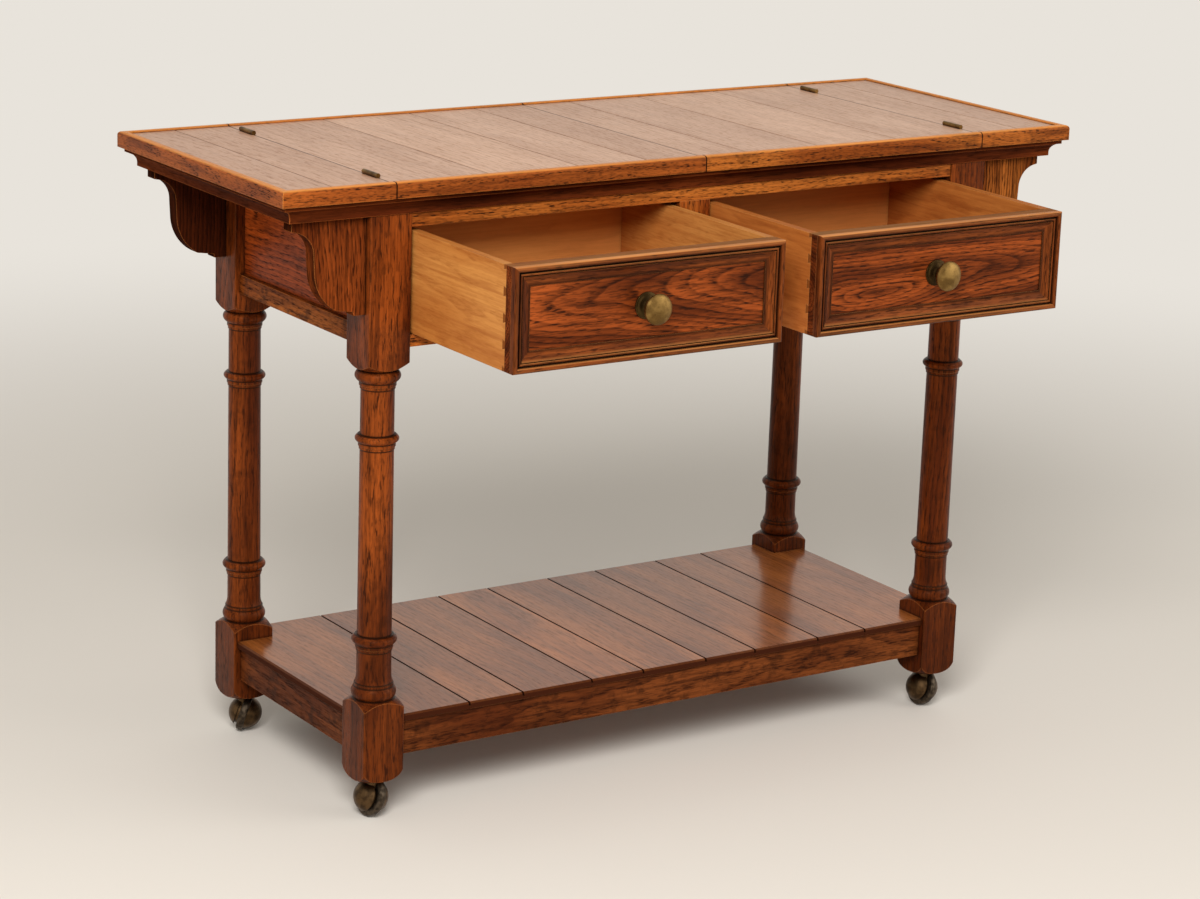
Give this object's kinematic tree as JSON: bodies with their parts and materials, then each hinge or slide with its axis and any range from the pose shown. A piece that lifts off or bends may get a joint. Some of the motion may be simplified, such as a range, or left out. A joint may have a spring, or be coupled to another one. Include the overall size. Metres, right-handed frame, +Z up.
{
  "type": "flip-top serving trolley",
  "caption": "Oak serving trolley on casters with drawers, a lower shelf and hinged top leaves that fold outwards over the fixed ends",
  "frame": {"origin": "on the floor, under the middle of the bounding box of the trolley with both drawers drawn out", "axes": "+X along the length to the right as seen from the drawer side, +Y from the drawer side to the back, +Z up"},
  "size_m": [1.26, 0.721, 0.8655],
  "materials": {
    "brass": "aged satin",
    "bronze": "dark antique",
    "antique_brass": "antique satin",
    "oak_top": "satin lacquer",
    "oak_rim": "satin lacquer",
    "oak_cornice": "satin lacquer",
    "oak_leg": "satin lacquer",
    "oak_drawer_front": "satin lacquer",
    "oak_moulding": "satin lacquer",
    "oak_frame": "satin lacquer",
    "oak_shelf": "satin lacquer",
    "oak_shelf_rail": "satin lacquer",
    "drawer_wood": "light lacquer",
    "plain_wood": "unfinished",
    "laminate": "satin"
  },
  "bodies": {
    "cabinet": {"bracket_back_left": "oak_frame", "bracket_back_right": "oak_frame", "bracket_front_left": "oak_frame", "bracket_front_right": "oak_frame", "cornice_back": "oak_cornice", "cornice_front": "oak_cornice", "cornice_left": "oak_cornice", "cornice_right": "oak_cornice", "drawer_kickers": "plain_wood", "drawer_runners": "plain_wood", "end_board_left": "oak_top", "end_board_right": "oak_top", "end_rim_left": "oak_rim", "end_rim_right": "oak_rim", "hinge_fixed_left": "brass", "hinge_fixed_right": "brass", "leg_back_left": "oak_leg", "leg_back_right": "oak_leg", "leg_front_left": "oak_leg", "leg_front_right": "oak_leg", "panel_back": "oak_frame", "panel_left": "oak_frame", "panel_right": "oak_frame", "rail_back": "oak_frame", "rail_front_bottom": "oak_frame", "rail_front_top": "oak_frame", "rail_left": "oak_frame", "rail_right": "oak_frame", "serving_surface": "laminate", "shelf_boards": "oak_shelf", "shelf_rail_back": "oak_shelf_rail", "shelf_rail_front": "oak_shelf_rail", "shelf_rail_left": "oak_shelf_rail", "shelf_rail_right": "oak_shelf_rail", "stile_front": "oak_frame", "sub_top": "plain_wood"},
    "leaf_left": {"leaf_board_left": "oak_top", "leaf_rim_left": "oak_rim", "hinge_leaf_left": "brass"},
    "drawer_left": {"drawer_front_left": "oak_drawer_front", "drawer_moulding_left": "oak_moulding", "drawer_box_left": "drawer_wood", "drawer_bottom_left": "drawer_wood", "drawer_knob_left": "antique_brass"},
    "leaf_right": {"leaf_board_right": "oak_top", "leaf_rim_right": "oak_rim", "hinge_leaf_right": "brass"},
    "drawer_right": {"drawer_front_right": "oak_drawer_front", "drawer_moulding_right": "oak_moulding", "drawer_box_right": "drawer_wood", "drawer_bottom_right": "drawer_wood", "drawer_knob_right": "antique_brass"},
    "swivel_front_left": {"caster_swivel_front_left": "bronze"},
    "wheel_front_left": {"caster_wheel_front_left": "bronze"},
    "swivel_front_right": {"caster_swivel_front_right": "bronze"},
    "wheel_front_right": {"caster_wheel_front_right": "bronze"},
    "swivel_back_left": {"caster_swivel_back_left": "bronze"},
    "wheel_back_left": {"caster_wheel_back_left": "bronze"},
    "swivel_back_right": {"caster_swivel_back_right": "bronze"},
    "wheel_back_right": {"caster_wheel_back_right": "bronze"}
  },
  "joints": [
    {"name": "leaf_left_fold", "type": "hinge", "parent": "cabinet", "child": "leaf_left", "pos_m": [-0.47, 0.1235, 0.86225], "axis": [0, -1, 0], "range_deg": [0, 180]},
    {"name": "leaf_right_fold", "type": "hinge", "parent": "cabinet", "child": "leaf_right", "pos_m": [0.47, 0.1235, 0.86225], "axis": [0, 1, 0], "range_deg": [0, 180]},
    {"name": "drawer_left_slide", "type": "slide", "parent": "cabinet", "child": "drawer_left", "axis": [0, -1, 0], "range_m": [-0.244, 0.05]},
    {"name": "drawer_right_slide", "type": "slide", "parent": "cabinet", "child": "drawer_right", "axis": [0, -1, 0], "range_m": [-0.244, 0.05]},
    {"name": "swivel_front_left", "type": "hinge", "parent": "cabinet", "child": "swivel_front_left", "pos_m": [-0.465, -0.0625, 0.056], "axis": [0, 0, 1], "continuous": true},
    {"name": "wheel_front_left_spin", "type": "hinge", "parent": "swivel_front_left", "child": "wheel_front_left", "pos_m": [-0.46385, -0.05741, 0.02667], "axis": [-0.9487, -0.0663, 0.309], "continuous": true},
    {"name": "swivel_front_right", "type": "hinge", "parent": "cabinet", "child": "swivel_front_right", "pos_m": [0.465, -0.0625, 0.056], "axis": [0, 0, 1], "continuous": true},
    {"name": "wheel_front_right_spin", "type": "hinge", "parent": "swivel_front_right", "child": "wheel_front_right", "pos_m": [0.46646, -0.05749, 0.02667], "axis": [-0.951, -0.0083, 0.309], "continuous": true},
    {"name": "swivel_back_left", "type": "hinge", "parent": "cabinet", "child": "swivel_back_left", "pos_m": [-0.465, 0.3095, 0.056], "axis": [0, 0, 1], "continuous": true},
    {"name": "wheel_back_left_spin", "type": "hinge", "parent": "swivel_back_left", "child": "wheel_back_left", "pos_m": [-0.46071, 0.31248, 0.02667], "axis": [-0.7443, 0.592, 0.309], "continuous": true},
    {"name": "swivel_back_right", "type": "hinge", "parent": "cabinet", "child": "swivel_back_right", "pos_m": [0.465, 0.3095, 0.056], "axis": [0, 0, 1], "continuous": true},
    {"name": "wheel_back_right_spin", "type": "hinge", "parent": "swivel_back_right", "child": "wheel_back_right", "pos_m": [0.46129, 0.31317, 0.02667], "axis": [-0.4465, -0.8397, 0.309], "continuous": true}
  ]
}
